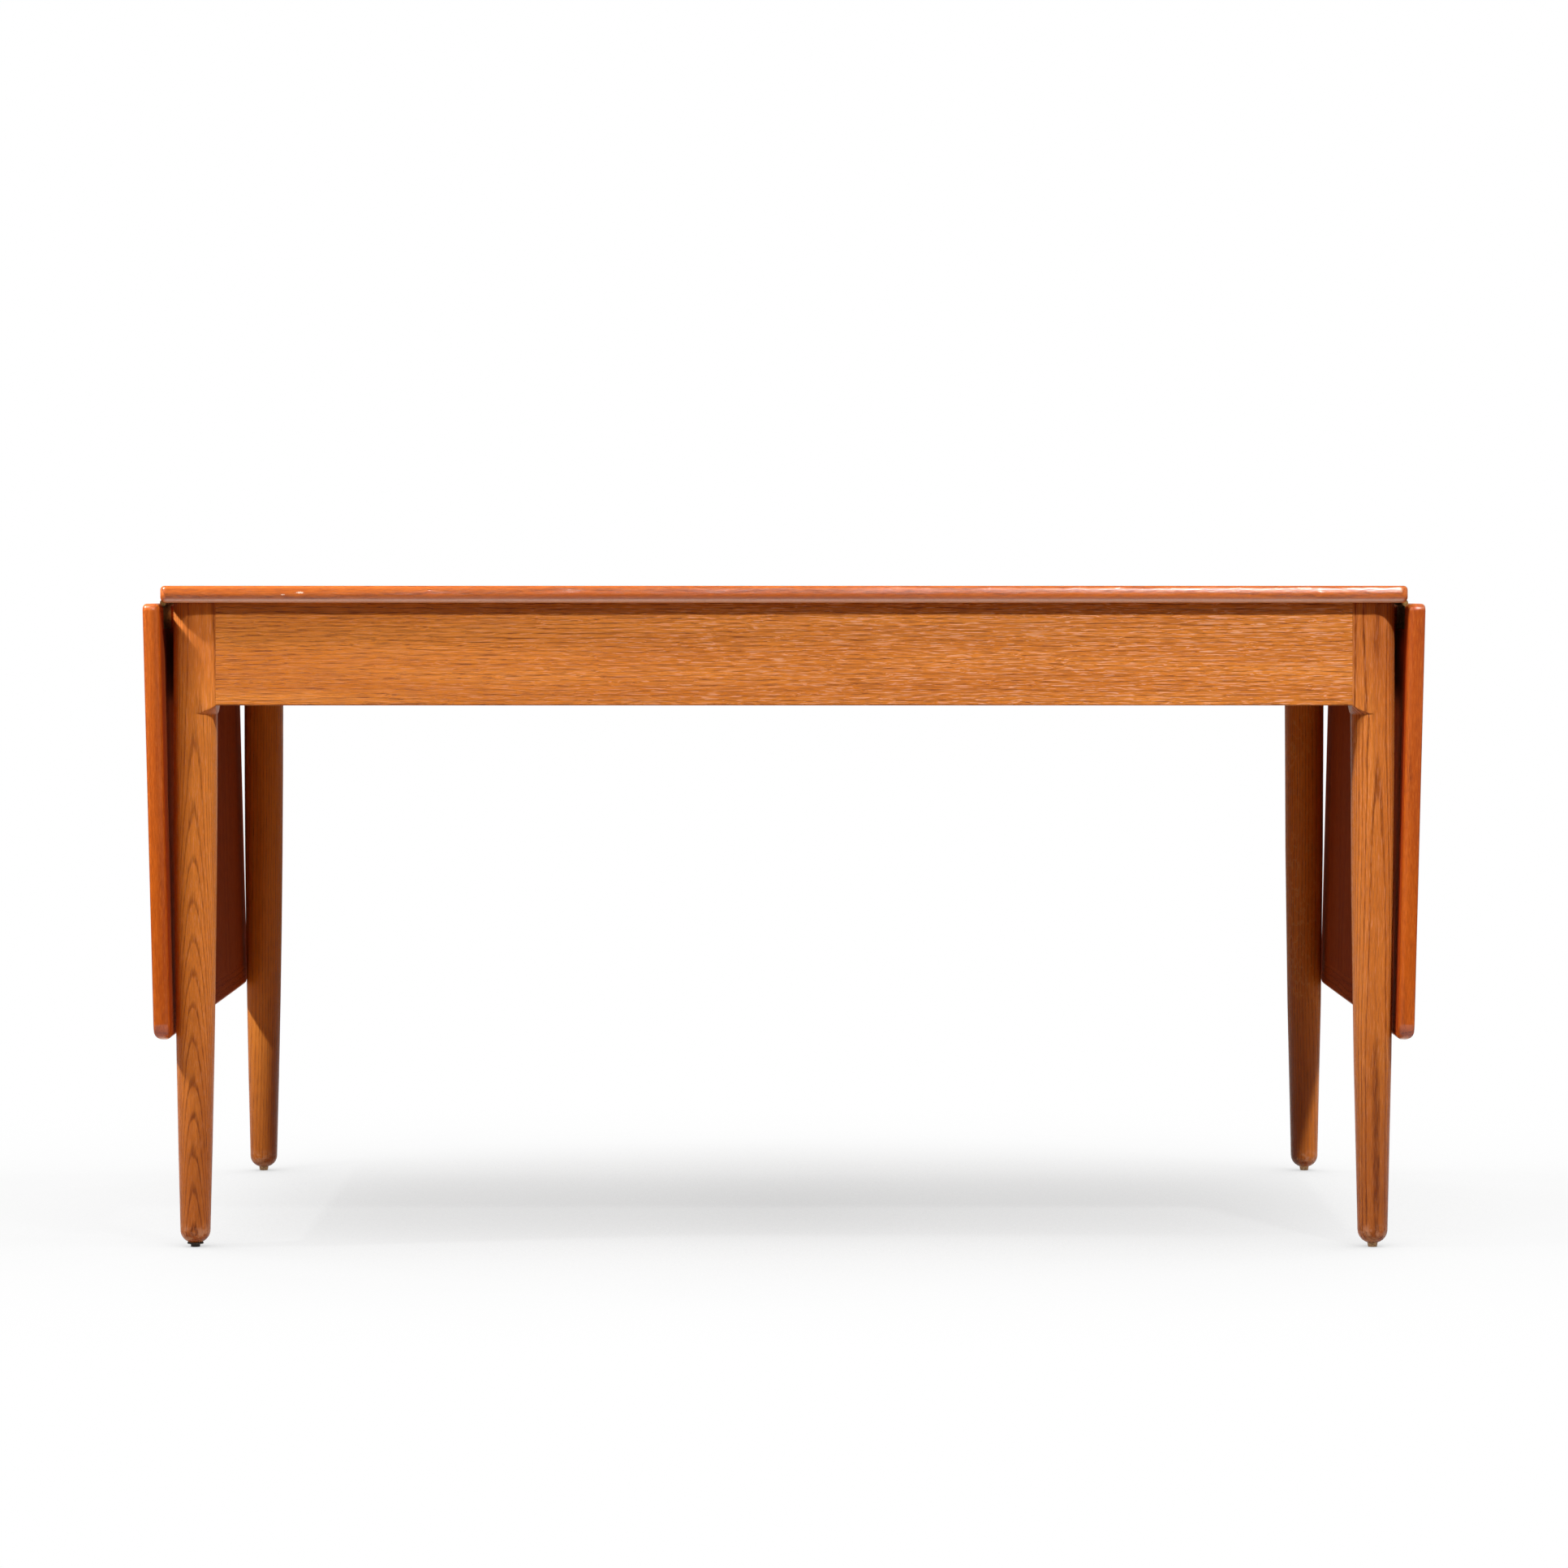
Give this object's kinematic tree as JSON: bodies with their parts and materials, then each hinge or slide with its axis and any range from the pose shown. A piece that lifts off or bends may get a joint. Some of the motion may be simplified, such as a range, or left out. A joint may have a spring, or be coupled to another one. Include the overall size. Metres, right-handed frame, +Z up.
{
  "type": "drop leaf table",
  "caption": "Drop leaf dining table in teak and oak: round-edged top with a hinged hanging leaf at each end, pull-out leaf supports and turned tapered legs flush with the aprons.",
  "frame": {"origin": "on the floor under the middle of the table", "axes": "+X along the table's length towards its right leaf, -Y towards the front, +Z up"},
  "size_m": [1.4238, 0.86, 0.737],
  "materials": {
    "teak_veneer": "oiled satin",
    "teak_solid": "oiled satin",
    "oak": "lacquered satin",
    "beech": "plain planed",
    "brass": "aged satin",
    "brass_screws": "aged satin",
    "steel": "worn",
    "dark_pad": "matte"
  },
  "bodies": {
    "frame": {"apron_back": "oak", "apron_front": "oak", "apron_left": "oak", "apron_right": "oak", "corner_block_back_left": "beech", "corner_block_back_right": "beech", "corner_block_front_left": "beech", "corner_block_front_right": "beech", "cross_rail_left": "beech", "cross_rail_right": "beech", "foot_glides": "steel", "front_left_glide": "dark_pad", "left_hinge_pins": "brass", "left_hinge_top_flaps": "brass", "left_hinge_top_screws": "brass_screws", "leg_back_left": "oak", "leg_back_right": "oak", "leg_front_left": "oak", "leg_front_right": "oak", "right_hinge_pins": "brass", "right_hinge_top_flaps": "brass", "right_hinge_top_screws": "brass_screws", "top_fixing_screws": "steel", "top_lipping_back": "teak_solid", "top_lipping_front": "teak_solid", "top_lipping_left": "teak_solid", "top_lipping_right": "teak_solid", "top_panel": "teak_veneer"},
    "left_leaf": {"left_hinge_leaf_flaps": "brass", "left_hinge_leaf_screws": "brass_screws", "left_leaf_lipping_back": "teak_solid", "left_leaf_lipping_end": "teak_solid", "left_leaf_lipping_front": "teak_solid", "left_leaf_lipping_hinged": "teak_solid", "left_leaf_panel": "teak_veneer"},
    "right_leaf": {"right_hinge_leaf_flaps": "brass", "right_hinge_leaf_screws": "brass_screws", "right_leaf_lipping_back": "teak_solid", "right_leaf_lipping_end": "teak_solid", "right_leaf_lipping_front": "teak_solid", "right_leaf_lipping_hinged": "teak_solid", "right_leaf_panel": "teak_veneer"},
    "left_support_front": {"left_support_front": "beech", "left_support_front_stop_pin": "beech"},
    "left_support_back": {"left_support_back": "beech", "left_support_back_stop_pin": "beech"},
    "right_support_front": {"right_support_front": "beech", "right_support_front_stop_pin": "beech"},
    "right_support_back": {"right_support_back": "beech", "right_support_back_stop_pin": "beech"}
  },
  "joints": [
    {"name": "left_leaf_hinge", "type": "hinge", "parent": "frame", "child": "left_leaf", "pos_m": [-0.693, 0, 0.718], "axis": [0, 1, 0], "range_deg": [0, 91.5]},
    {"name": "right_leaf_hinge", "type": "hinge", "parent": "frame", "child": "right_leaf", "pos_m": [0.693, 0, 0.718], "axis": [0, -1, 0], "range_deg": [0, 91.5]},
    {"name": "left_support_front_slide", "type": "slide", "parent": "frame", "child": "left_support_front", "axis": [-1, 0, 0], "range_m": [0, 0.0117]},
    {"name": "left_support_back_slide", "type": "slide", "parent": "frame", "child": "left_support_back", "axis": [-1, 0, 0], "range_m": [0, 0.0117]},
    {"name": "right_support_front_slide", "type": "slide", "parent": "frame", "child": "right_support_front", "axis": [1, 0, 0], "range_m": [0, 0.0117]},
    {"name": "right_support_back_slide", "type": "slide", "parent": "frame", "child": "right_support_back", "axis": [1, 0, 0], "range_m": [0, 0.0117]}
  ]
}
